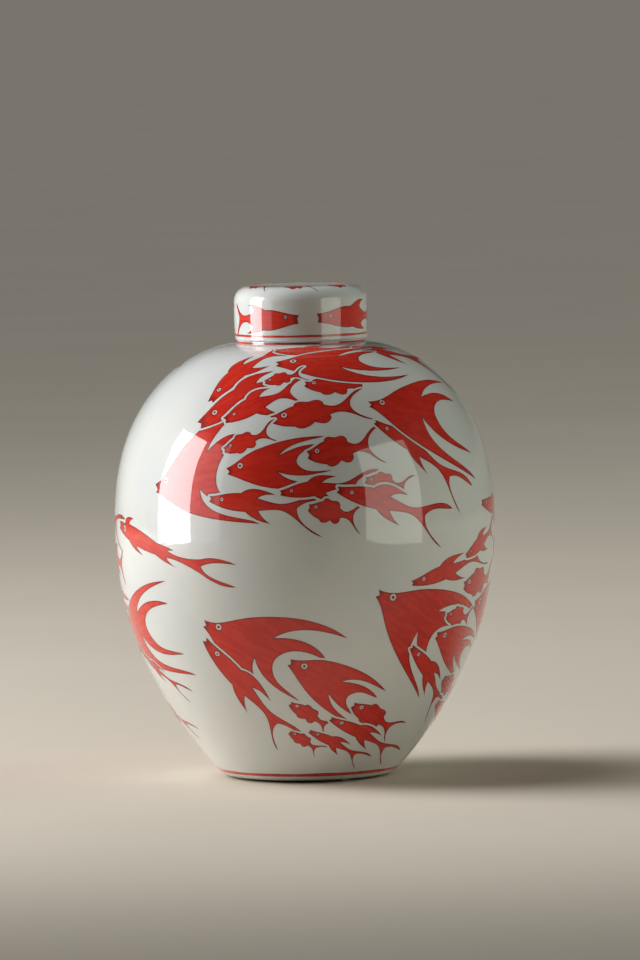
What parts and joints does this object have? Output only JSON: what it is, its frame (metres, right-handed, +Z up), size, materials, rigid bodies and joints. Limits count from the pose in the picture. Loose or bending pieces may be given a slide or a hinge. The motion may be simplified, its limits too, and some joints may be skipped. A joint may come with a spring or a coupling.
{
  "type": "ginger jar",
  "caption": "Lidded ginger jar: a hollow round-shouldered porcelain body on a foot ring, with a cap-shaped lid that lifts off a short neck.",
  "frame": {"origin": "centre of the base, on the plane through the undersides of the three foot pads", "axes": "+Z up along the jar's axis; -Y to the front; +X to the right seen from the front"},
  "size_m": [0.27, 0.27, 0.35],
  "materials": {
    "white_glaze": "glossy clear glaze on white porcelain, with a faint cool green cast",
    "red_enamel": "glossy coral-red brushwork with darker outlines",
    "bare_clay": "matt unglazed clay where the foot ring and the rims were wiped",
    "clear_pad": "clear soft polyurethane"
  },
  "bodies": {
    "jar": {"jar_body": "white_glaze", "foot_pad_1": "clear_pad", "foot_pad_2": "clear_pad", "foot_pad_3": "clear_pad"},
    "lid": {"lid": "white_glaze"}
  },
  "joints": [
    {"name": "lid_lift", "type": "slide", "parent": "jar", "child": "lid", "axis": [0, 0, 1], "range_m": [0, 0.12]}
  ]
}
